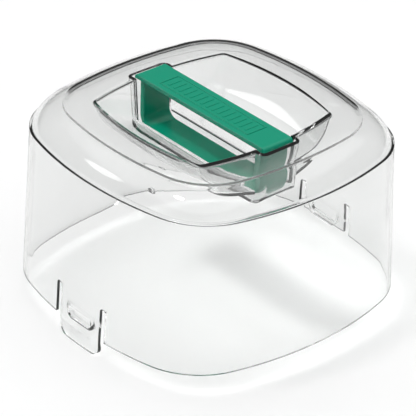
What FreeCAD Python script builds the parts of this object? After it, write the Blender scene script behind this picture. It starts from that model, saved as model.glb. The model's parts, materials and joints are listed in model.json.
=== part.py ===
"""Clear rounded-square cover hood with a green carry handle let into its top and two sprung tongues.

Millimetres, +Z up. The origin is the middle of the footprint at the lowest point, which is the tip
of the front tongue. +X runs along the handle. -Y is the front, where the long finger tongue is.
Heights in the tables below are above the hood's rim, and RIM_Z lifts them to the part's frame.
"""
import FreeCAD, Part
import math
import os

os.makedirs("parts", exist_ok=True)

# Driving sizes
RIM_Z = 13.0            # rim above the tip of the front tongue
RIM_X, RIM_Y = 105.0, 105.5      # half widths of the footprint, at the middle of each side
DRAFT_X, DRAFT_Y = 3.6, 5.1      # how much the skirt draws in from the rim to its top
SKIRT_H = 102.4         # height of the straight skirt
WALL = 2.0              # wall of the clear moulding
SIDE_R, FRONT_R = 228.0, 244.0   # radii of the bowed sides at the rim, for the X and the Y walls
CORNER_R = 51.0         # radius of the corners at the rim
RIDGE_X, RIDGE_Z = 99.6, 104.6   # outer end of the shoulder, where it stands in from the skirt
FOOT_X, FOOT_Z = 81.7, 118.8     # inner end of the shoulder, at the foot of the raised plateau
SHOULDER_RISE = 2.8     # how far the shoulder's arc stands above its chord
ASPECT = 1.0            # half width in X less half width in Y, above the skirt
TOP_Z = 121.2           # top surface at the edge of the finger well

BAR_X, BAR_Y = 61.8, 12.0        # half length and half width of the handle's bar
BAR_TOP, BAR_T = 122.4, 3.2      # top of the bar and its thickness
BAR_END_R = 2.8         # round upper ends of the bar
POST_X, POST_T = 57.3, 4.0       # outer face of a post and its thickness
POST_Y = 10.9           # half width of the posts and of the web
NECK_H = 1.4            # height over which the bar narrows to the posts
LOOP_BASE, WEB_T = 85.0, 3.4     # underside of the web between the posts, and its thickness
LOOP_R = 11.0           # outer lower corners of the loop
EDGE_R = 1.2            # rounded long edges of the handle
FRAME_X, FRAME_Y = 42.0, 8.0     # half size of the raised frame on the bar
FRAME_BAND, FRAME_RISE = 0.9, 0.4

GROOVE_X, GROOVE_Y = 63.8, 14.4  # half size of the groove that the handle sits in, at the top
GROOVE_DRAFT = 0.05     # slope of the groove's walls
GROOVE_BASE, GROOVE_R = 84.6, 13.0
GROOVE_CORNER = 3.0     # upright corners of the groove

TONGUE_ROOT = 22.6      # height of the flexing line of both tongues
ROOT_KERF = 0.3         # parting between a tongue and the hood at that line
SLIT_X = 23.75          # half width of the opening cut for a tongue
TONGUE_TOP_X, TONGUE_TIP_X = 19.2, 18.6
FRONT_TIP, REAR_TIP = -RIM_Z, 0.5
FRONT_TIP_R, REAR_TIP_R = 6.5, 1.5
LIP_TOP, LIP_DEPTH = -9.0, 0.7   # thicker lip inside the tip of the front tongue
LIP_RUN = 6.0           # height over which the lip thins out
BARB_X, BARB_LOW, BARB_HIGH = 11.2, 3.9, 11.2
BARB_DEPTH, BARB_SKIN = 2.8, 2.0  # how far a barb is pressed in at its foot, and its wall
BARB_R = 3.0

NOTCH_Y0, NOTCH_Y1, NOTCH_H = 6.0, 36.0, 3.7
LEDGE_Y0 = -78.0        # front end of the ledge inside the left rim
LEDGE_DEPTH, LEDGE_H = 2.8, 0.9
CLEAR = 60.0            # reach of the blocks that cut right through a wall


def arc_between(centre, radius, start, end, z):
    """Arc of a circle in a level plane, between two angles."""
    points = []
    for angle in (start, (start + end) / 2, end):
        points.append(FreeCAD.Vector(
            centre[0] + radius * math.cos(angle), centre[1] + radius * math.sin(angle), z))
    return Part.Arc(*points).toShape()


def outline(half_x, half_y, bow_x, bow_y, corner, height):
    """Closed square outline with bowed sides and round corners, at a height above the rim."""
    cx, cy = half_x - bow_x, half_y - bow_y
    reach_x, reach_y = bow_x - corner, bow_y - corner
    gap = math.hypot(cx, cy)
    along = (reach_x ** 2 - reach_y ** 2 + gap ** 2) / (2 * gap)
    across = math.sqrt(reach_x ** 2 - along ** 2)
    ux, uy = -cx / gap, cy / gap
    corner_x = cx + along * ux + across * abs(uy)
    corner_y = along * uy + across * ux
    turn_x = math.atan2(corner_y, corner_x - cx)
    turn_y = math.atan2(corner_y - cy, corner_x)
    z = RIM_Z + height
    quarter = math.pi / 2
    edges = []
    for sx, sy in ((1, 1), (-1, 1), (-1, -1), (1, -1)):
        start, end = turn_x, turn_y
        if sx < 0:
            start, end = math.pi - start, math.pi - end
        if sy < 0:
            start, end = -start, -end
        edges.append(arc_between((sx * corner_x, sy * corner_y), corner, start, end, z))
    edges.append(arc_between((cx, 0), bow_x, -turn_x, turn_x, z))
    edges.append(arc_between((-cx, 0), bow_x, math.pi - turn_x, math.pi + turn_x, z))
    edges.append(arc_between((0, cy), bow_y, turn_y, 2 * quarter - turn_y, z))
    edges.append(arc_between((0, -cy), bow_y, -turn_y, turn_y - 2 * quarter, z))
    return Part.Wire(Part.__sortEdges__(edges))


def stack(sections):
    """Solid through a pile of level outlines."""
    return Part.makeLoft([outline(*section) for section in sections], True, True)


def skirt_section(height, inset=0.0):
    """Outline of the skirt at a height, drawn in by inset. It is upright below the rim."""
    share = max(height, 0.0) / SKIRT_H
    return (
        RIM_X - DRAFT_X * share - inset,
        RIM_Y - DRAFT_Y * share - inset,
        SIDE_R - 5.0 * share - inset,
        FRONT_R - 5.0 * share - inset,
        CORNER_R - 4.0 * share - inset,
        height)


def shoulder_arc(count, inset=0.0):
    """Points (half width, height) along the shoulder's arc, from the ridge to the foot."""
    dx, dz = FOOT_X - RIDGE_X, FOOT_Z - RIDGE_Z
    chord = math.hypot(dx, dz)
    radius = (chord ** 2 / 4 + SHOULDER_RISE ** 2) / (2 * SHOULDER_RISE)
    drop = radius - SHOULDER_RISE
    centre_x = (RIDGE_X + FOOT_X) / 2 - drop * dz / chord
    centre_z = (RIDGE_Z + FOOT_Z) / 2 + drop * dx / chord
    start = math.atan2(RIDGE_Z - centre_z, RIDGE_X - centre_x)
    end = math.atan2(FOOT_Z - centre_z, FOOT_X - centre_x)
    points = []
    for i in range(count + 1):
        angle = start + (end - start) * i / count
        points.append((
            centre_x + (radius - inset) * math.cos(angle),
            centre_z + (radius - inset) * math.sin(angle)))
    return points


def shoulder_sections(inset=0.0):
    """Outlines from the ridge to the foot. The corners tighten towards the foot."""
    points = shoulder_arc(6, inset)
    sections = []
    for i, (half, height) in enumerate(points):
        share = i / (len(points) - 1)
        sections.append((
            half, half - ASPECT,
            223.0 + 43.0 * share - inset, 239.0 + 5.0 * share - inset,
            47.0 - 7.0 * share - inset, height))
    return sections


def outer_body():
    """Outside of the hood, with the well not yet cut."""
    sections = [skirt_section(0.0), skirt_section(SKIRT_H)]
    sections.append((101.0, 100.0, 223.0, 239.0, 47.0, 103.6))
    sections.append((100.2, 99.2, 223.0, 239.0, 47.0, 104.3))
    sections += shoulder_sections()
    sections.append((80.6, 79.6, 265.0, 243.0, 38.7, 119.5))
    sections.append((78.8, 77.8, 263.0, 241.0, 37.0, 120.2))
    sections.append((77.0, 76.0, 261.0, 239.0, 35.0, 120.4))
    sections.append((58.6, 61.2, 196.0, 217.0, 7.0, TOP_Z))
    return stack(sections)


def inner_body():
    """Space inside the hood, with the well's underside not yet put back."""
    sections = [skirt_section(-1.0, WALL), skirt_section(0.0, WALL), skirt_section(100.6, WALL)]
    sections += shoulder_sections(WALL)
    sections.append((76.0, 75.0, 258.4, 236.4, 34.0, 120.4 - WALL))
    sections.append((60.0, 62.5, 196.0, 217.0, 9.0, TOP_Z - WALL))
    return stack(sections)


# Finger well: half width in Y at the end walls and height above the rim, from the top down
WELL_PROFILE = (
    (52.6, 121.6), (51.2, 117.0), (49.9, 113.3), (48.0, 109.0), (45.5, 104.8), (43.2, 101.8),
    (40.4, 99.2), (36.4, 97.0), (31.2, 95.4), (26.0, 94.2), (21.0, 93.0), (15.4, 91.4))
WELL_X = 57.2           # half length of the well at the top, at the middle of an end wall
WELL_BOW_X = 195.0      # radius of the end walls
WELL_SAG_Y = 7.2        # how far a long side bows out at the top
END_DRAFT = 0.03        # slope of the end walls


def well_sections(skin=0.0):
    """Outlines of the finger well, grown outwards by skin, measured square to its surface."""
    top, base = WELL_PROFILE[0][1], WELL_PROFILE[-1][1]
    sections = []
    for i, (half_y, height) in enumerate(WELL_PROFILE):
        before = WELL_PROFILE[max(i - 1, 0)]
        after = WELL_PROFILE[min(i + 1, len(WELL_PROFILE) - 1)]
        run, fall = before[0] - after[0], before[1] - after[1]
        length = math.hypot(run, fall)
        out_y, down = skin * fall / length, skin * run / length
        depth = (height - base) / (top - base)
        sag = WELL_SAG_Y * depth + 0.05
        half_x = WELL_X - END_DRAFT * (TOP_Z - height) + skin
        side = half_y + sag + out_y
        chord = half_x - 6.0
        bow_y = (chord ** 2 + sag ** 2) / (2 * sag)
        sections.append((
            half_x, side, WELL_BOW_X + skin, bow_y + out_y, 4.0 + skin, height - down))
    return sections


def slab(points_xz, half_y):
    """Solid between -half_y and half_y from an outline in the XZ plane, in rim heights."""
    vectors = [FreeCAD.Vector(x, -half_y, RIM_Z + z) for x, z in points_xz]
    face = Part.Face(Part.makePolygon(vectors + vectors[:1]))
    return face.extrude(FreeCAD.Vector(0, 2 * half_y, 0))


def fillet_edges(shape, radius, chosen):
    """Round the edges for which chosen(edge) is true."""
    return shape.makeFillet(radius, [edge for edge in shape.Edges if chosen(edge)])


def runs_along(edge, axis):
    """True for a straight edge along the axis 0, 1 or 2."""
    box = edge.BoundBox
    spans = [box.XLength, box.YLength, box.ZLength]
    others = [span for i, span in enumerate(spans) if i != axis]
    return spans[axis] > 1.0 and max(others) < 0.01


def u_block(half_x, half_y, base, radius, top):
    """Block with two round lower corners, as the groove and the loop are."""
    block = slab([(-half_x, base), (half_x, base), (half_x, top), (-half_x, top)], half_y)
    return fillet_edges(
        block, radius,
        lambda e: runs_along(e, 1) and e.BoundBox.ZMax < RIM_Z + base + 1.0)


def round_rectangle(half_x, half_y, corner, height):
    """Closed level outline of a rectangle with round corners."""
    cx, cy, z = half_x - corner, half_y - corner, RIM_Z + height
    quarter = math.pi / 2
    edges = []
    for i, (sx, sy) in enumerate(((1, 1), (-1, 1), (-1, -1), (1, -1))):
        edges.append(arc_between((sx * cx, sy * cy), corner, i * quarter, (i + 1) * quarter, z))
    for side in (-1, 1):
        edges.append(Part.makeLine(
            FreeCAD.Vector(-cx, side * half_y, z), FreeCAD.Vector(cx, side * half_y, z)))
        edges.append(Part.makeLine(
            FreeCAD.Vector(side * half_x, -cy, z), FreeCAD.Vector(side * half_x, cy, z)))
    return Part.Wire(Part.__sortEdges__(edges))


def groove(skin=0.0):
    """Space that the handle sits in, or with a skin the clear wall round it."""
    half_x, half_y, top = GROOVE_X + skin, GROOVE_Y + skin, TOP_Z + 1.0 - skin
    side_view = u_block(half_x + 1.0, half_y + 1.0, GROOVE_BASE - skin, GROOVE_R + skin, top)
    loops = []
    for height in (GROOVE_BASE - skin - 1.0, top):
        drawn = GROOVE_DRAFT * (TOP_Z - height)
        loops.append(round_rectangle(half_x - drawn, half_y - drawn, GROOVE_CORNER + skin, height))
    return side_view.common(Part.makeLoft(loops, True, True))


def ring(height_0, inset_0, height_1, inset_1, depth):
    """Band on the inside of the skirt: its wall face is inset 1 mm less than WALL, so that it
    joins the wall, and it stands depth further in than the inset at each height."""
    outer = stack([skirt_section(height_0, WALL - 1.0), skirt_section(height_1, WALL - 1.0)])
    inner = stack([
        skirt_section(height_0, inset_0 + depth), skirt_section(height_1, inset_1 + depth)])
    return outer.cut(inner)


def ledge_ring(base):
    """Thin flange on the inside of the skirt, without its ends."""
    return ring(base, WALL, base + LEDGE_H, WALL, LEDGE_DEPTH)


def left_box(y0, y1):
    """Block round the -X wall between two Y positions."""
    return Part.makeBox(CLEAR, y1 - y0, CLEAR, FreeCAD.Vector(-2 * CLEAR, y0, 0))


def rim_ledge():
    """Thin ledge inside the -X rim, which steps up over the notch."""
    low = ledge_ring(0.0).common(left_box(LEDGE_Y0, NOTCH_Y0))
    high = ledge_ring(NOTCH_H).common(left_box(NOTCH_Y0 - LEDGE_H, NOTCH_Y1 + 2))
    riser = ring(0.0, WALL, NOTCH_H + LEDGE_H, WALL, LEDGE_DEPTH)
    riser = riser.common(left_box(NOTCH_Y0 - LEDGE_H, NOTCH_Y0))
    return low.fuse(high).fuse(riser)


def wall_block(side, top_x, rim_x, top, base, radius=0.0):
    """Prism through one skirt wall, narrower or wider at its foot, with round lower corners.

    Side is -1 for the front and 1 for the rear.
    """
    outline_xz = [(-rim_x, base), (rim_x, base), (top_x, top), (-top_x, top)]
    block = slab(outline_xz, CLEAR / 2)
    block.translate(FreeCAD.Vector(0, side * (RIM_Y + 4.5), 0))
    if radius > 0:
        block = fillet_edges(
            block, radius,
            lambda e: runs_along(e, 1) and e.BoundBox.ZMax < RIM_Z + base + 1.0)
    return block


def hood():
    """The clear moulding: skirt, shoulder, plateau, finger well and handle groove in one."""
    well = stack(well_sections())
    underside = stack(well_sections(WALL)).fuse(groove(WALL))
    cavity = inner_body().cut(underside)
    shell = outer_body().cut(well).cut(groove()).cut(cavity)
    shell = shell.fuse(rim_ledge())
    notch = left_box(NOTCH_Y0, NOTCH_Y1).common(
        Part.makeBox(4 * CLEAR, 4 * CLEAR, NOTCH_H + 1,
                     FreeCAD.Vector(-2 * CLEAR, -2 * CLEAR, RIM_Z - 1)))
    shell = shell.cut(notch)
    for side in (-1, 1):
        shell = shell.cut(wall_block(side, SLIT_X, SLIT_X, TONGUE_ROOT + ROOT_KERF / 2, -1.0))
    return shell


def barb_press():
    """Wedge pressed into the outside of a wall: full depth at its foot, none at its top."""
    outer = stack([skirt_section(BARB_LOW, -2.0), skirt_section(BARB_HIGH, -2.0)])
    inner = stack([skirt_section(BARB_LOW, BARB_DEPTH), skirt_section(BARB_HIGH)])
    return outer.cut(inner)


def tongue(side, tip, tip_radius):
    """Sprung tongue cut from the skirt wall, with a barb pressed into it."""
    root = TONGUE_ROOT - ROOT_KERF / 2
    heights = [tip, 0.2, root] if tip < 0 else [tip, root]
    outside = [skirt_section(height) for height in heights]
    inside = [skirt_section(height, WALL) for height in [tip - 1.0] + heights[1:] + [root + 1.0]]
    body = stack(outside).cut(stack(inside))
    if tip < LIP_TOP:
        lip = ring(tip, WALL, LIP_TOP, WALL, LIP_DEPTH)
        lip = lip.fuse(ring(LIP_TOP, WALL, LIP_TOP + LIP_RUN, WALL - LIP_DEPTH, LIP_DEPTH))
        body = body.fuse(lip)
    share = (root - tip) / (TONGUE_ROOT - FRONT_TIP)
    tip_x = TONGUE_TOP_X - (TONGUE_TOP_X - TONGUE_TIP_X) * share
    body = body.common(wall_block(side, TONGUE_TOP_X, tip_x, root, tip, tip_radius))
    foot = BARB_LOW - BARB_SKIN
    wide = BARB_X + BARB_SKIN
    wedge = ring(foot, WALL, BARB_HIGH, WALL - BARB_DEPTH, BARB_DEPTH)
    wedge = wedge.common(wall_block(side, wide, wide, BARB_HIGH, foot, BARB_R + BARB_SKIN))
    press = barb_press().common(wall_block(side, BARB_X, BARB_X, BARB_HIGH, BARB_LOW, BARB_R))
    return body.fuse(wedge).cut(press).removeSplitter()


def loop_block():
    """Handle loop seen along Y: the bar with its posts and web, less the finger space."""
    bar_low = BAR_TOP - BAR_T
    bar = slab([(-BAR_X, bar_low), (BAR_X, bar_low), (BAR_X, BAR_TOP), (-BAR_X, BAR_TOP)], BAR_Y)
    bar = fillet_edges(
        bar, BAR_END_R, lambda e: runs_along(e, 1) and e.BoundBox.ZMin > RIM_Z + BAR_TOP - 1.0)
    outer = u_block(POST_X, BAR_Y, LOOP_BASE, LOOP_R, BAR_TOP - 1.0)
    inner = u_block(POST_X - POST_T, CLEAR, LOOP_BASE + WEB_T, LOOP_R - POST_T, bar_low)
    return bar.fuse(outer.cut(inner))


def carry_handle():
    """Closed loop handle with a wide flat bar and a raised panel frame on it."""
    neck = BAR_TOP - BAR_T
    half = [(BAR_Y, BAR_TOP - EDGE_R), (BAR_Y, neck), (POST_Y, neck - NECK_H), (POST_Y, LOOP_BASE)]
    top = [(BAR_Y - EDGE_R, BAR_TOP)]
    right = top + half
    left = [(-y, z) for y, z in reversed(right)]
    points = [FreeCAD.Vector(-CLEAR * 2, y, RIM_Z + z) for y, z in right + left]
    section = Part.Face(Part.makePolygon(points + points[:1]))
    loop = loop_block().common(section.extrude(FreeCAD.Vector(CLEAR * 4, 0, 0)))
    base = RIM_Z + BAR_TOP - 1.0
    plate = Part.makeBox(
        2 * FRAME_X, 2 * FRAME_Y, 1.0 + FRAME_RISE, FreeCAD.Vector(-FRAME_X, -FRAME_Y, base))
    hole_x, hole_y = FRAME_X - FRAME_BAND, FRAME_Y - FRAME_BAND
    hole = Part.makeBox(2 * hole_x, 2 * hole_y, 5, FreeCAD.Vector(-hole_x, -hole_y, base - 1))
    return loop.fuse(plate.cut(hole)).removeSplitter()


def save(node, shape):
    """Write one node, after a plain test that it is closed and valid."""
    shape = Part.Solid(shape.Solids[0]) if len(shape.Solids) == 1 else shape
    print(node, "solids", len(shape.Solids), "valid", shape.isValid(), "volume", round(shape.Volume))
    shape.exportStep(f"parts/{node}.step")


save("hood", hood())
save("carry_handle", carry_handle())
save("front_tongue", tongue(-1, FRONT_TIP, FRONT_TIP_R))
save("rear_tongue", tongue(1, REAR_TIP, REAR_TIP_R))
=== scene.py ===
import json
import math

import bmesh
import bpy
from mathutils import Matrix, Vector


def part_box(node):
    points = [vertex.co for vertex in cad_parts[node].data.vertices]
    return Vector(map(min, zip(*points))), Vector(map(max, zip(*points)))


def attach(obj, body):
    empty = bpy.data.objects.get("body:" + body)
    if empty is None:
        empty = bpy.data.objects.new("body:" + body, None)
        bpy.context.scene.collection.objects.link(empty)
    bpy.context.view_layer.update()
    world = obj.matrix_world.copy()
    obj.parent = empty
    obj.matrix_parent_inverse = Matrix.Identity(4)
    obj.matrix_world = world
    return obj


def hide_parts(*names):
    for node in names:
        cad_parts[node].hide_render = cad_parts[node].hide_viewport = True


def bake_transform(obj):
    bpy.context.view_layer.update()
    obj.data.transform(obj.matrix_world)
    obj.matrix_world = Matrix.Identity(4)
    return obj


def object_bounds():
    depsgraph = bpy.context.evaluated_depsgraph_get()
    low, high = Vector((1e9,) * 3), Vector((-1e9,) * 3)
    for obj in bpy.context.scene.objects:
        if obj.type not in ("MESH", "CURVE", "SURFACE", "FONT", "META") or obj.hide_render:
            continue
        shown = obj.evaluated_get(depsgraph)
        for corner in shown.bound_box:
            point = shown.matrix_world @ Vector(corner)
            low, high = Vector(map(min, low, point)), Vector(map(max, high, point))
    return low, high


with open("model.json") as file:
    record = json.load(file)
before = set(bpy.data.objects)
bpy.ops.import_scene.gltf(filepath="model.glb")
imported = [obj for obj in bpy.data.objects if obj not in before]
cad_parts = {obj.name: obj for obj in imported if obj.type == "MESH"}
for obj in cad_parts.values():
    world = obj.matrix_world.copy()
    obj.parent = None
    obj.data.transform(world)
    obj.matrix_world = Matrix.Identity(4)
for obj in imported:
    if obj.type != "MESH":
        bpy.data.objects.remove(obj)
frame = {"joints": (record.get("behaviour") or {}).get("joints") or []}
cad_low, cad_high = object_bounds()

# Lengths in this script are millimetres. Mesh points are turned to metres when a mesh is made.
MM = 0.001

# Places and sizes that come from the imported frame
hood_low, hood_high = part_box("hood")
handle_low, handle_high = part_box("carry_handle")
RIM_Z = hood_low.z / MM                 # the hood's rim
RIM_X = hood_high.x / MM                # half widths of the footprint
RIM_Y = -cad_low.y / MM
BAR_X = handle_high.x / MM              # half length and half width of the handle's bar
BAR_Y = handle_high.y / MM
PANEL_TOP = handle_high.z / MM - RIM_Z
LOOP_BASE = handle_low.z / MM - RIM_Z
FRONT_TIP = cad_low.z / MM - RIM_Z      # tip of the front tongue
ROOT_POINTS = {j["child"]: Vector(j["pos_m"]) for j in frame["joints"]}
TONGUE_ROOT = ROOT_POINTS["front_tongue"].z / MM - RIM_Z

# Heights from here on are above the rim
WALL = 2.0              # wall of the clear moulding
RIB_ROOT = WALL - 1.0   # ribs on the inside of the wall start at this depth in it
FLUSH = WALL - 0.02     # a rib that runs out ends here, so that no two faces coincide
PANEL_RISE = 0.4        # how far the bar's panel stands proud
BAR_TOP = PANEL_TOP - PANEL_RISE
BAR_T, WEB_T, POST_T = 3.2, 3.4, 4.0     # thicknesses of the handle
BAR_END_R = 2.8         # round upper ends of the bar
BAR_BEVEL, STRIP_BEVEL = 0.8, 0.9        # edges of the bar, and of the posts and web
POST_X, POST_Y = 57.3, 10.9      # outer face and half width of the posts
LOOP_R = 11.0           # lower corners of the handle
GROOVE_X, GROOVE_Y = 63.8, 14.4  # half size of the groove that the handle sits in
GROOVE_BASE, GROOVE_R, GROOVE_CORNER, GROOVE_DRAFT = 84.6, 13.0, 3.0, 0.05
TOP_Z = 121.2           # top of the plateau, at the well's lip
TROUGH_TOP = TOP_Z - 1.6        # the wall round the groove ends inside the plateau's wall
SLIT_X, SLIT_R = 23.75, 0.75     # half width of a tongue's opening, and its upper corners
TONGUE_TOP_X, TONGUE_TIP_X, TIP_R = 19.2, 18.6, 6.5     # half widths, and the tip's corners
REAR_TIP = 0.5          # tip of the rear tongue
BARB_X, BARB_LOW, BARB_HIGH, BARB_R = 11.2, 3.9, 11.2, 3.0      # hollow pressed in a tongue
BARB_DEPTH, BARB_SKIN = 2.8, 2.0        # its depth, and the wall round it
PRESS_GAP = 0.05        # the hollow stops this far under the barb's top
LIP_LOW, LIP_TOP, LIP_DEPTH, LIP_RUN = -18.0, -9.0, 0.7, 6.0    # thicker tip of the front tongue
NOTCH_Y0, NOTCH_Y1, NOTCH_H = 6.0, 36.0, 3.7        # in the left rim
LEDGE_DEPTH, LEDGE_H, LEDGE_Y0, LEDGE_LOW = 2.8, 0.9, -78.0, -6.0     # along the left rim
FRAME_X, FRAME_Y, FRAME_W = 42.0, 8.0, 0.9      # panel frame: half size and width of its bars
RIB_COUNT, RIB_PITCH, RIB_X, RIB_Y = 15, 5.2, 0.8, 5.1      # panel ribs, with half sizes
RIB_DROP = 0.1          # the ribs' tops are this far under the frame's
PANEL_ROOT, PANEL_EDGE = 0.6, 0.15      # how deep the panel starts in the bar, and its bevel

# Regions and margins of the solids that cut the moulding or keep part of it
FAR = 140.0             # beyond every face of the hood
END_Y = 80.0            # the middle of the front and rear walls lies beyond this
LEFT_X = -60.0          # the left wall lies beyond this
MIDDLE_X = 30.0         # the tongues lie this near to the middle
TONGUES_TOP = 60.0      # the tongues lie under this, measured from the floor
KEEP_Z = 20.0           # above and below every rib at the rim
MOULD_LOW = -20.0       # the walls are made down to here, then cut at the rim and the tongues
CUT_LOW = -30.0         # below that
MARGIN = 1.0            # a tool reaches this far past what it shapes

SIDE_STEPS = 30         # points along one bowed side of an outline
CORNER_STEPS = 18       # points round one corner
SKIRT_ROWS = 6          # spans up the skirt

# A section is (half length in X, half length in Y, radius of the sides that face X, radius of the
# sides that face Y, corner radius, height). The skirt's sizes shrink by SKIRT_DRAW up to SKIRT_TOP.
SKIRT_FOOT = (RIM_X, RIM_Y, 228.0, 244.0, 51.0)
SKIRT_DRAW = (3.6, 5.1, 5.0, 5.0, 4.0)
SKIRT_TOP = 102.4
RIDGE_RADII = (223.0, 239.0, 47.0)      # a section's radii where the shoulder starts
RADII_GAIN = (43.0, 5.0, -7.0)          # what they gain up to the plateau's foot
TOP_NARROWING = 1.0     # the shoulder's half length is this much less in Y than in X

# Half width and height of the finger well halfway along it, from the top down
WELL_PROFILE = (
    (52.6, 121.6), (51.2, 117.0), (49.9, 113.3), (48.0, 109.0), (45.5, 104.8), (43.2, 101.8),
    (40.4, 99.2), (36.4, 97.0), (31.2, 95.4), (26.0, 94.2), (21.0, 93.0), (15.4, 91.4))
WELL_X, WELL_BOW_X, WELL_CORNER = 57.2, 195.0, 4.0
WELL_SAG_Y, WELL_SAG_LEAST = 7.2, 0.05  # bow of the long sides at the top and at the floor
WELL_CHORD_TRIM = 6.0   # what the corners take from half the length of a long side
WELL_SKIN = 0.4         # the groove's wall stops this far outside the well
WELL_LIP = 120.2        # the well's own profile starts under this
END_DRAFT = 0.03        # slope of the well's ends


def outline(half_x, half_y, bow_x, bow_y, corner, height):
    """Points of a square outline with bowed sides and round corners, at a height above the rim."""
    cx, cy = half_x - bow_x, half_y - bow_y
    reach_x, reach_y = bow_x - corner, bow_y - corner
    gap = math.hypot(cx, cy)
    along = (reach_x ** 2 - reach_y ** 2 + gap ** 2) / (2 * gap)
    across = math.sqrt(reach_x ** 2 - along ** 2)
    ux, uy = -cx / gap, cy / gap
    corner_x = cx + along * ux + across * abs(uy)
    corner_y = along * uy + across * ux
    turn_x = math.atan2(corner_y, corner_x - cx)
    turn_y = math.atan2(corner_y - cy, corner_x)
    half_turn = math.pi
    arcs = [
        (cx, 0, bow_x, -turn_x, turn_x, SIDE_STEPS),
        (corner_x, corner_y, corner, turn_x, turn_y, CORNER_STEPS),
        (0, cy, bow_y, turn_y, half_turn - turn_y, SIDE_STEPS),
        (-corner_x, corner_y, corner, half_turn - turn_y, half_turn - turn_x, CORNER_STEPS),
        (-cx, 0, bow_x, half_turn - turn_x, half_turn + turn_x, SIDE_STEPS),
        (-corner_x, -corner_y, corner, half_turn + turn_x, half_turn + turn_y, CORNER_STEPS),
        (0, -cy, bow_y, half_turn + turn_y, 2 * half_turn - turn_y, SIDE_STEPS),
        (corner_x, -corner_y, corner, -turn_y, -turn_x, CORNER_STEPS)]
    points = []
    for x, y, radius, start, end, steps in arcs:
        for i in range(steps):
            angle = start + (end - start) * i / steps
            points.append((x + radius * math.cos(angle), y + radius * math.sin(angle), height))
    return points


def soften(profile, trims, steps=5):
    """Rounds the corners of a profile, a list of section tuples, where trims gives a length."""
    result = []
    for i, point in enumerate(profile):
        trim = trims.get(i, 0.0)
        if not trim:
            result.append(point)
            continue
        ends = []
        for other in (profile[i - 1], profile[i + 1]):
            length = math.hypot(other[0] - point[0], other[-1] - point[-1])
            share = min(trim / length, 0.5)
            ends.append([p + (o - p) * share for p, o in zip(point, other)])
        for k in range(steps + 1):
            t = k / steps
            result.append(tuple(
                a * (1 - t) ** 2 + p * 2 * t * (1 - t) + b * t ** 2
                for a, p, b in zip(ends[0], point, ends[1])))
    return result


def skirt_section(height, inset=0.0):
    """Section of the skirt at a height, drawn in by inset."""
    share = max(height, 0.0) / SKIRT_TOP
    sizes = [size - draw * share - inset for size, draw in zip(SKIRT_FOOT, SKIRT_DRAW)]
    return (*sizes, height)


def skirt_sections(height, inset=0.0):
    """Sections from below the rim to the last row under a height."""
    low = skirt_section(0.0, inset)[:5] + (MOULD_LOW,)
    rows = [skirt_section(height * i / SKIRT_ROWS, inset) for i in range(1, SKIRT_ROWS)]
    return [low, skirt_section(0.0, inset), *rows]


def shoulder_sections(inset=0.0, steps=16):
    """Sections along the shoulder's arc, from the ridge to the foot of the plateau."""
    ridge_x, ridge_z, foot_x, foot_z, rise = 99.6, 104.6, 81.7, 118.8, 2.8
    dx, dz = foot_x - ridge_x, foot_z - ridge_z
    chord = math.hypot(dx, dz)
    radius = (chord ** 2 / 4 + rise ** 2) / (2 * rise)
    drop = radius - rise
    centre_x = (ridge_x + foot_x) / 2 - drop * dz / chord
    centre_z = (ridge_z + foot_z) / 2 + drop * dx / chord
    start = math.atan2(ridge_z - centre_z, ridge_x - centre_x)
    end = math.atan2(foot_z - centre_z, foot_x - centre_x)
    sections = []
    for i in range(steps + 1):
        share = i / steps
        angle = start + (end - start) * share
        half = centre_x + (radius - inset) * math.cos(angle)
        radii = [size + gain * share - inset for size, gain in zip(RIDGE_RADII, RADII_GAIN)]
        height = centre_z + (radius - inset) * math.sin(angle)
        sections.append((half, half - TOP_NARROWING, *radii, height))
    return sections


def smooth_line(points, per_span):
    """A Catmull-Rom curve through points."""
    result = []
    last = len(points) - 1
    for i in range(last):
        p0, p1, p2, p3 = (points[max(i - 1, 0)], points[i], points[i + 1], points[min(i + 2, last)])
        for k in range(per_span):
            t = k / per_span
            result.append(tuple(
                0.5 * (2 * b + (c - a) * t + (2 * a - 5 * b + 4 * c - d) * t ** 2
                       + (3 * b - a - 3 * c + d) * t ** 3)
                for a, b, c, d in zip(p0, p1, p2, p3)))
    return result + [points[-1]]


def well_sections(skin=0.0):
    """Sections of the finger well from the top down, grown outwards by skin."""
    line = smooth_line(WELL_PROFILE, 3)
    base, top = line[-1][1], line[0][1]
    sections = []
    for i, (half_y, height) in enumerate(line):
        before, after = line[max(i - 1, 0)], line[min(i + 1, len(line) - 1)]
        run, fall = before[0] - after[0], before[1] - after[1]
        length = math.hypot(run, fall)
        depth = (height - base) / (top - base)
        sag = WELL_SAG_Y * depth + WELL_SAG_LEAST
        half_x = WELL_X - END_DRAFT * (TOP_Z - height) + skin
        chord = half_x - WELL_CHORD_TRIM
        bow_y = (chord ** 2 + sag ** 2) / (2 * sag)
        out_y = skin * fall / length
        sections.append((
            half_x, half_y + sag + out_y, WELL_BOW_X + skin, bow_y + out_y,
            WELL_CORNER + skin, height - skin * run / length))
    return sections


def outer_profile():
    """Outside of the moulding: skirt, ridge shelf, shoulder, plateau and down the finger well."""
    profile = skirt_sections(103.0)
    # the ridge, and a narrow shelf behind it
    ridge = len(profile)
    profile += [
        (101.4, 100.4, 223.0, 239.0, 47.4, 103.3),
        (99.75, 98.75, 223.0, 239.0, 47.0, 103.5)]
    profile += shoulder_sections()
    # from the plateau's foot: its riser, its edge, its flat top and the well's lip
    foot = len(profile) - 1
    profile += [
        (81.3, 80.3, 265.7, 243.8, 39.6, 120.15),
        (78.2, 77.2, 262.0, 240.0, 36.0, 120.4),
        (70.0, 70.0, 235.0, 230.0, 24.0, 120.75),
        (57.3, 59.8, 195.0, 186.0, 4.2, TOP_Z)]
    lip = len(profile) - 1
    profile += [section for section in well_sections() if section[5] < WELL_LIP]
    return soften(profile, {
        ridge: 0.35, ridge + 1: 0.2, foot: 0.25, foot + 1: 0.3, foot + 2: 0.8, lip: 0.35})


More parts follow.
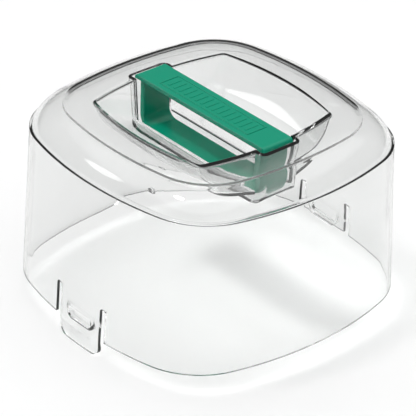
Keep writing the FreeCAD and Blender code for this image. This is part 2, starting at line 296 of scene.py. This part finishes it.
def inner_profile():
    """Inside of the moulding, a wall's thickness from the outside, or less at the ridge."""
    ceiling = TOP_Z - WALL
    profile = skirt_sections(102.0, WALL)
    ridge = len(profile)
    profile.append(skirt_section(102.5, WALL))
    profile += shoulder_sections(WALL)
    profile += [
        (78.6, 77.6, 262.0, 240.0, 35.0, ceiling - 1.4),
        (76.0, 75.0, 258.4, 236.4, 34.0, ceiling - 0.9),
        (68.0, 68.5, 232.0, 228.0, 22.0, ceiling - 0.5)]
    well = [section for section in well_sections(WALL) if section[5] < ceiling - 1.6]
    # the corner over the well's first section, where the ceiling turns down
    first = well[0]
    corner = len(profile)
    profile.append((first[0] + 0.1, first[1] + 0.1) + first[2:5] + (ceiling - 0.1,))
    profile += well
    return soften(profile, {ridge: 0.6, corner: 2.4})


def mesh_object(name, points, faces):
    """New mesh object from points in millimetres above the rim."""
    mesh = bpy.data.meshes.new(name)
    metres = [(x * MM, y * MM, (z + RIM_Z) * MM) for x, y, z in points]
    mesh.from_pydata(metres, [], faces)
    mesh.validate()
    made = bpy.data.objects.new(name, mesh)
    bpy.context.scene.collection.objects.link(made)
    return made


def face_out(made):
    """Turns all faces of a closed mesh outwards."""
    work = bmesh.new()
    work.from_mesh(made.data)
    bmesh.ops.recalc_face_normals(work, faces=work.faces)
    work.to_mesh(made.data)
    work.free()


def stacked(name, loops, close_loop=False):
    """Mesh through a pile of loops of equal length, capped at both ends or closed on itself."""
    count = len(loops[0])
    points = [point for loop in loops for point in loop]
    faces = []
    rows = len(loops) if close_loop else len(loops) - 1
    for row in range(rows):
        a, b = row * count, (row + 1) % len(loops) * count
        for i in range(count):
            j = (i + 1) % count
            faces.append((a + i, a + j, b + j, b + i))
    if not close_loop:
        faces.append(tuple(range(count))[::-1])
        faces.append(tuple(range((len(loops) - 1) * count, len(loops) * count)))
    made = mesh_object(name, points, faces)
    face_out(made)
    return made


def prism(name, outline_xz, y0, y1):
    """Solid between two Y planes from an outline in the XZ plane."""
    loops = [[(x, y, z) for x, z in outline_xz] for y in (y0, y1)]
    return stacked(name, loops)


def block(name, x0, x1, y0, y1, z0, z1):
    """Plain box."""
    return prism(name, [(x0, z0), (x1, z0), (x1, z1), (x0, z1)], y0, y1)


def applied(made, kind, **settings):
    """Adds one modifier and applies it."""
    modifier = made.modifiers.new("step", kind)
    for key, value in settings.items():
        setattr(modifier, key, value)
    evaluated = made.evaluated_get(bpy.context.evaluated_depsgraph_get())
    mesh = bpy.data.meshes.new_from_object(evaluated)
    made.modifiers.clear()
    old = made.data
    made.data = mesh
    bpy.data.meshes.remove(old)


def combine(base, tool, operation):
    """Applies a boolean of base with tool, and removes tool."""
    applied(base, "BOOLEAN", operation=operation, solver="EXACT", object=tool)
    bpy.data.objects.remove(tool)


def round_path(corners, steps=10):
    """Closed outline in a plane from (x, z, radius) corners, counter-clockwise, with arcs."""
    points = []
    count = len(corners)
    for i, (x, z, radius) in enumerate(corners):
        here = Vector((x, z))
        if radius <= 0:
            points.append((x, z))
            continue
        before = Vector(corners[i - 1][:2]) - here
        after = Vector(corners[(i + 1) % count][:2]) - here
        a, b = before.normalized(), after.normalized()
        half = a.angle(b) / 2
        reach = radius / math.tan(half)
        centre = here + (a + b).normalized() * radius / math.sin(half)
        first = here + a * reach - centre
        turn = (here + b * reach - centre).angle_signed(first)
        for k in range(steps + 1):
            angle = turn * k / steps
            points.append(tuple(centre + Matrix.Rotation(angle, 2) @ first))
    return points


def u_path(half_x, base, radius, top):
    """Outline of a block with round lower corners."""
    return round_path([
        (half_x, top, 0), (-half_x, top, 0), (-half_x, base, radius), (half_x, base, radius)])


def groove_solid(skin, top):
    """Space that the handle sits in, or with a skin the clear wall round it."""
    half_x, half_y, corner = GROOVE_X + skin, GROOVE_Y + skin, GROOVE_CORNER + skin
    solid = prism(
        "groove", u_path(half_x + MARGIN, GROOVE_BASE - skin, GROOVE_R + skin, top),
        -half_y - MARGIN, half_y + MARGIN)
    loops = []
    for height in (GROOVE_BASE - 10 * MARGIN, TOP_Z + 10 * MARGIN):
        drawn = GROOVE_DRAFT * (TOP_Z - height)
        x, y = half_x - drawn, half_y - drawn
        plan = round_path([(x, y, corner), (-x, y, corner), (-x, -y, corner), (x, -y, corner)], 6)
        loops.append([(px, py, height) for px, py in plan])
    combine(solid, stacked("plan", loops), "INTERSECT")
    return solid


def well_solid(skin):
    """The finger well as a solid, open to the sky, grown outwards by skin."""
    loops = [outline(*section) for section in well_sections(skin)]
    raised = [(x, y, FAR) for x, y, z in loops[0]]
    return stacked("well", [raised] + loops)


def band(name, heights, outers, inners, keep):
    """Part of a ring round the skirt's wall, kept where it lies in the solid keep."""
    outer = [outline(*skirt_section(h, i)) for h, i in zip(heights, outers)]
    inner = [outline(*skirt_section(h, i)) for h, i in zip(heights, inners)]
    ring = stacked(name, outer + inner[::-1], close_loop=True)
    combine(ring, keep, "INTERSECT")
    return ring


def tongue_cutter():
    """Prism that leaves the two tongues: everything under the rim and the four slits."""
    root, bottom = TONGUE_ROOT, CUT_LOW - 10 * MARGIN
    path = [
        (-FAR, bottom, 0), (FAR, bottom, 0), (FAR, 0.0, 0), (SLIT_X, 0.0, 0),
        (SLIT_X, root, SLIT_R), (TONGUE_TOP_X, root, SLIT_R), (TONGUE_TIP_X, FRONT_TIP, TIP_R),
        (-TONGUE_TIP_X, FRONT_TIP, TIP_R), (-TONGUE_TOP_X, root, SLIT_R),
        (-SLIT_X, root, SLIT_R), (-SLIT_X, 0.0, 0), (-FAR, 0.0, 0)]
    return prism("cutter", round_path(path, 8), -FAR, FAR)


def add_barb(hood, y0, y1):
    """Presses a barb into a tongue: a wedge inwards, deepest at its foot."""
    wide, foot = BARB_X + BARB_SKIN, BARB_LOW - BARB_SKIN
    keep = prism("keep", u_path(wide, foot, BARB_R + BARB_SKIN, BARB_HIGH), y0, y1)
    combine(hood, band(
        "wedge", [foot - MARGIN, foot, BARB_HIGH], [RIB_ROOT] * 3,
        [WALL + BARB_DEPTH, WALL + BARB_DEPTH, FLUSH], keep), "UNION")
    keep = prism("keep", u_path(BARB_X, BARB_LOW, BARB_R, BARB_HIGH - PRESS_GAP), y0, y1)
    combine(hood, band(
        "press", [BARB_LOW - MARGIN, BARB_LOW, BARB_HIGH], [-2 * MARGIN] * 3,
        [BARB_DEPTH, BARB_DEPTH, 0.0], keep), "DIFFERENCE")


def add_ledge(hood):
    """Ledge inside the left rim, which steps up over the notch, and the notch itself."""
    ledge = WALL + LEDGE_DEPTH
    for name, base, y0, y1 in (
            ("ledge_low", 0.0, LEDGE_Y0, NOTCH_Y0 - MARGIN),
            ("ledge_high", NOTCH_H, NOTCH_Y0 - LEDGE_H, NOTCH_Y1 + 2 * MARGIN)):
        combine(hood, band(
            name, [LEDGE_LOW, base + LEDGE_H], [RIB_ROOT] * 2, [ledge] * 2,
            block("keep", -FAR, LEFT_X, y0, y1, -KEEP_Z, KEEP_Z)), "UNION")
    combine(hood, block("notch", -FAR, LEFT_X, NOTCH_Y0, NOTCH_Y1, CUT_LOW, NOTCH_H), "DIFFERENCE")


def clear_moulding():
    """The whole clear moulding as one closed mesh, tongues included."""
    outer = [outline(*section) for section in outer_profile()]
    inner = [outline(*section) for section in inner_profile()]
    hood = stacked("clear_hood", outer[::-1] + inner)
    trough = groove_solid(WALL, TROUGH_TOP)
    combine(trough, well_solid(WELL_SKIN), "DIFFERENCE")
    combine(hood, trough, "UNION")
    combine(hood, groove_solid(0.0, TOP_Z + 5 * MARGIN), "DIFFERENCE")
    add_ledge(hood)
    add_barb(hood, -FAR, -END_Y)
    add_barb(hood, END_Y, FAR)
    combine(hood, band(
        "lip", [LIP_LOW, LIP_TOP, LIP_TOP + LIP_RUN], [RIB_ROOT] * 3,
        [WALL + LIP_DEPTH, WALL + LIP_DEPTH, FLUSH],
        block("keep", -MIDDLE_X, MIDDLE_X, -FAR, -END_Y, -KEEP_Z, KEEP_Z)), "UNION")
    combine(hood, tongue_cutter(), "DIFFERENCE")
    combine(hood, block(
        "rear_trim", -SLIT_X + MARGIN, SLIT_X - MARGIN, END_Y, FAR, CUT_LOW, REAR_TIP), "DIFFERENCE")
    return hood


def near_tongue(face):
    """True if a face lies low in the middle of the front or rear wall."""
    centre = face.calc_center_median()
    return abs(centre.x) < MIDDLE_X * MM and abs(centre.y) > END_Y * MM and centre.z < TONGUES_TOP * MM


def is_tongue(face, side, root):
    """True if a face belongs to the tongue at the front (side -1) or rear (side 1)."""
    centre = face.calc_center_median()
    slit_middle = (TONGUE_TOP_X + SLIT_X) / 2 * MM
    return abs(centre.x) < slit_middle and centre.y * side > END_Y * MM and centre.z < root


def split_tongues(hood):
    """Moves the tongues' faces, below their root line, to objects of their own."""
    work = bmesh.new()
    work.from_mesh(hood.data)
    root = (TONGUE_ROOT + RIM_Z) * MM
    near = [face for face in work.faces if near_tongue(face)]
    geometry = set(near)
    for face in near:
        geometry.update(face.verts)
        geometry.update(face.edges)
    bmesh.ops.bisect_plane(
        work, geom=list(geometry), plane_co=(0, 0, root), plane_no=(0, 0, 1), dist=1e-6)
    pieces = []
    for name, side in (("front_tongue_skin", -1), ("rear_tongue_skin", 1)):
        part = work.copy()
        drop = [face for face in part.faces if not is_tongue(face, side, root)]
        bmesh.ops.delete(part, geom=drop, context="FACES")
        mesh = bpy.data.meshes.new(name)
        part.to_mesh(mesh)
        part.free()
        made = bpy.data.objects.new(name, mesh)
        bpy.context.scene.collection.objects.link(made)
        pieces.append(made)
    drop = [face for face in work.faces if is_tongue(face, -1, root) or is_tongue(face, 1, root)]
    bmesh.ops.delete(work, geom=drop, context="FACES")
    work.to_mesh(hood.data)
    work.free()
    return pieces


def smooth_by_angle(made, degrees):
    """Smooth shading, with edges sharper than the angle kept sharp."""
    mesh = made.data
    mesh.polygons.foreach_set("use_smooth", [True] * len(mesh.polygons))
    mesh.set_sharp_from_angle(angle=math.radians(degrees))


def handle_loop():
    """Handle: a flat strap bar with round ends on a narrower U of posts and web."""
    bar_low = BAR_TOP - BAR_T
    bar = prism("green_handle", round_path([
        (BAR_X, BAR_TOP, BAR_END_R), (-BAR_X, BAR_TOP, BAR_END_R), (-BAR_X, bar_low, 0.0),
        (BAR_X, bar_low, 0.0)], 8), -BAR_Y, BAR_Y)
    applied(bar, "BEVEL", width=BAR_BEVEL * MM, segments=1, angle_limit=math.radians(40))
    post_top = BAR_TOP - BAR_T / 2
    outer = u_path(POST_X, LOOP_BASE, LOOP_R, post_top)
    inner = u_path(POST_X - POST_T, LOOP_BASE + WEB_T, LOOP_R - POST_T, post_top)
    # from the left post's top down and round to the right one's, and back along the inside
    strip = prism("strip", outer[1:] + outer[:1] + inner[:1] + inner[:0:-1], -POST_Y, POST_Y)
    applied(strip, "BEVEL", width=STRIP_BEVEL * MM, segments=4, angle_limit=math.radians(40))
    combine(bar, strip, "UNION")
    return bar


def soft_bar(name, x0, x1, y0, y1, z0, z1, bevel):
    """Raised bar with bevelled top edges."""
    loops = []
    for inset, z in ((0, z0), (0, z1 - bevel), (bevel * 0.3, z1 - bevel * 0.3), (bevel, z1)):
        loops.append([
            (x0 + inset, y0 + inset, z), (x1 - inset, y0 + inset, z),
            (x1 - inset, y1 - inset, z), (x0 + inset, y1 - inset, z)])
    return stacked(name, loops)


def panel_frame():
    """Raised rectangular frame on the bar, with a plain row of grip ribs inside it."""
    low, high, edge = BAR_TOP - PANEL_ROOT, PANEL_TOP, PANEL_EDGE
    outer = [(FRAME_X, FRAME_Y), (-FRAME_X, FRAME_Y), (-FRAME_X, -FRAME_Y), (FRAME_X, -FRAME_Y)]
    loops = []
    for inset, z in ((0, low), (0, high - edge), (edge, high), (FRAME_W - edge, high),
                     (FRAME_W, high - edge), (FRAME_W, low)):
        loops.append([(x - math.copysign(inset, x), y - math.copysign(inset, y), z)
                      for x, y in outer])
    panel = [stacked("panel_frame", loops, close_loop=True)]
    for i in range(RIB_COUNT):
        x = (i - (RIB_COUNT - 1) / 2) * RIB_PITCH
        panel.append(soft_bar(
            "rib", x - RIB_X, x + RIB_X, -RIB_Y, RIB_Y, low, PANEL_TOP - RIB_DROP, edge))
    return panel


def join(main, others):
    """Adds the meshes of others to main."""
    work = bmesh.new()
    for made in [main, *others]:
        work.from_mesh(made.data)
    work.to_mesh(main.data)
    work.free()
    for made in others:
        bpy.data.objects.remove(made)
    return main


def new_material(name):
    """Node material with its Principled shader."""
    material = bpy.data.materials.new(name)
    material.use_nodes = True
    tree = material.node_tree
    return material, tree, tree.nodes["Principled BSDF"]


def noise(tree, scale, detail):
    """Noise texture on the piece's own points, in metres."""
    coords = tree.nodes.new("ShaderNodeTexCoord")
    texture = tree.nodes.new("ShaderNodeTexNoise")
    texture.inputs["Scale"].default_value = scale
    texture.inputs["Detail"].default_value = detail
    tree.links.new(coords.outputs["Object"], texture.inputs["Vector"])
    return texture


def vary_roughness(tree, shader, scale, low, high):
    """Roughness that drifts between two values over the surface."""
    texture = noise(tree, scale, 3.0)
    spread = tree.nodes.new("ShaderNodeMapRange")
    spread.inputs["From Min"].default_value = 0.3
    spread.inputs["From Max"].default_value = 0.7
    spread.inputs["To Min"].default_value = low
    spread.inputs["To Max"].default_value = high
    tree.links.new(texture.outputs["Fac"], spread.inputs["Value"])
    tree.links.new(spread.outputs["Result"], shader.inputs["Roughness"])


def add_bump(tree, shader, scale, detail, strength, distance):
    """Fine unevenness of a moulded surface."""
    texture = noise(tree, scale, detail)
    bump = tree.nodes.new("ShaderNodeBump")
    bump.inputs["Strength"].default_value = strength
    bump.inputs["Distance"].default_value = distance
    tree.links.new(texture.outputs["Fac"], bump.inputs["Height"])
    tree.links.new(bump.outputs["Normal"], shader.inputs["Normal"])


def clear_plastic():
    """Clear moulded plastic with faint flow waves. Lamp rays pass through it, dimmed a little."""
    material, tree, shader = new_material("clear_plastic")
    shader.inputs["Base Color"].default_value = (0.898, 0.903, 0.9, 1)
    shader.inputs["IOR"].default_value = 1.49
    shader.inputs["Transmission Weight"].default_value = 1.0
    vary_roughness(tree, shader, scale=40.0, low=0.005, high=0.025)
    add_bump(tree, shader, scale=45.0, detail=2.0, strength=0.12, distance=0.0004)
    through = tree.nodes.new("ShaderNodeBsdfTransparent")
    through.inputs["Color"].default_value = (0.9, 0.905, 0.902, 1)
    path = tree.nodes.new("ShaderNodeLightPath")
    mix = tree.nodes.new("ShaderNodeMixShader")
    output = tree.nodes["Material Output"]
    tree.links.new(path.outputs["Is Shadow Ray"], mix.inputs[0])
    tree.links.new(shader.outputs[0], mix.inputs[1])
    tree.links.new(through.outputs[0], mix.inputs[2])
    tree.links.new(mix.outputs[0], output.inputs["Surface"])
    return material


def green_plastic():
    """Satin green moulded plastic with a fine spark-eroded grain."""
    material, tree, shader = new_material("green_plastic")
    shader.inputs["Base Color"].default_value = (0.001, 0.285, 0.17, 1)
    shader.inputs["IOR"].default_value = 1.5
    shader.inputs["Specular IOR Level"].default_value = 0.35
    vary_roughness(tree, shader, scale=70.0, low=0.2, high=0.27)
    add_bump(tree, shader, scale=1100.0, detail=3.0, strength=0.18, distance=0.0002)
    return material


def add_floor():
    """Wide pale floor just under the hood, in metres."""
    floor_mesh = bpy.data.meshes.new("floor")
    reach = 6.0
    floor_z = cad_low.z - 0.0002
    floor_mesh.from_pydata(
        [(-reach, -reach, floor_z), (reach, -reach, floor_z), (reach, reach, floor_z),
         (-reach, reach, floor_z)], [], [(0, 1, 2, 3)])
    floor = bpy.data.objects.new("floor", floor_mesh)
    bpy.context.scene.collection.objects.link(floor)
    material, tree, shader = new_material("floor")
    shader.inputs["Base Color"].default_value = (0.9, 0.9, 0.9, 1)
    shader.inputs["Roughness"].default_value = 0.9
    shader.inputs["Specular IOR Level"].default_value = 0.0
    floor.data.materials.append(material)


def add_sky():
    """Sky that brightens towards the top, with one bright soft box at the front left."""
    world = bpy.data.worlds.new("studio")
    bpy.context.scene.world = world
    world.use_nodes = True
    tree = world.node_tree
    background = tree.nodes["Background"]
    coords = tree.nodes.new("ShaderNodeTexCoord")
    parts = tree.nodes.new("ShaderNodeSeparateXYZ")
    ramp = tree.nodes.new("ShaderNodeValToRGB")
    # sine of the height above the horizon, and brightness
    stops = [(0.0, 0.12), (0.12, 0.12), (0.3, 0.22), (0.6, 0.28), (0.72, 1.14), (1.0, 1.14)]
    while len(ramp.color_ramp.elements) < len(stops):
        ramp.color_ramp.elements.new(0.5)
    for element, (place, value) in zip(ramp.color_ramp.elements, stops):
        element.position = place
        element.color = (value, value, value, 1)
    tree.links.new(coords.outputs["Generated"], parts.inputs[0])
    tree.links.new(parts.outputs["Z"], ramp.inputs["Fac"])
    # the soft box: the sky near one direction, with a soft edge
    towards_box = Vector((-0.64, -0.52, 0.57)).normalized()
    facing = tree.nodes.new("ShaderNodeVectorMath")
    facing.operation = "DOT_PRODUCT"
    facing.inputs[1].default_value = towards_box
    box = tree.nodes.new("ShaderNodeMapRange")
    box.interpolation_type = "SMOOTHSTEP"
    box.inputs["From Min"].default_value = 0.992
    box.inputs["From Max"].default_value = 0.9965
    box.inputs["To Max"].default_value = 3.0
    total = tree.nodes.new("ShaderNodeMath")
    tree.links.new(coords.outputs["Generated"], facing.inputs[0])
    tree.links.new(facing.outputs["Value"], box.inputs["Value"])
    tree.links.new(ramp.outputs["Color"], total.inputs[0])
    tree.links.new(box.outputs["Result"], total.inputs[1])
    tree.links.new(total.outputs[0], background.inputs["Color"])
    background.inputs["Strength"].default_value = 1.0


def add_key_light():
    """Soft-edged sun from the front left, high up."""
    key_data = bpy.data.lights.new("key", "SUN")
    key_data.energy = 1.18
    key_data.angle = math.radians(9)
    key = bpy.data.objects.new("key", key_data)
    bpy.context.scene.collection.objects.link(key)
    towards_light = Vector((-0.199, -0.313, 0.929))
    key.rotation_mode = "QUATERNION"
    key.rotation_quaternion = towards_light.to_track_quat("Z", "Y")


def add_camera():
    """Long lens, from the front right and above, in metres."""
    data = bpy.data.cameras.new("camera")
    data.sensor_width = 36.0
    data.lens = 223.97
    data.clip_end = 50.0
    made = bpy.data.objects.new("camera", data)
    bpy.context.scene.collection.objects.link(made)
    place = Vector((1.05285, -0.93626, 0.89582 + RIM_Z * MM))
    look = Vector((-0.64045, 0.56902, -0.51579)).normalized()
    up = Vector((-0.40728, 0.31774, 0.85625))
    right = look.cross(up).normalized()
    up = right.cross(look)
    rows = Matrix((right, up, -look)).transposed().to_4x4()
    rows.translation = place
    made.matrix_world = rows
    bpy.context.scene.camera = made


bpy.context.scene.view_settings.view_transform = "Standard"
add_camera()
add_floor()
add_sky()
add_key_light()
clear = clear_plastic()
green = green_plastic()

hood = clear_moulding()
front_skin, rear_skin = split_tongues(hood)
for piece in (hood, front_skin, rear_skin):
    smooth_by_angle(piece, degrees=32)
    piece.data.materials.clear()
    piece.data.materials.append(clear)
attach(hood, "hood")
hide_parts("hood")
for piece, body in ((front_skin, "front_tongue"), (rear_skin, "rear_tongue")):
    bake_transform(piece)
    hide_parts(body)

handle = join(handle_loop(), panel_frame())
smooth_by_angle(handle, degrees=35)
applied(handle, "WEIGHTED_NORMAL", keep_sharp=True)
handle.data.materials.append(green)
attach(handle, "hood")
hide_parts("carry_handle")
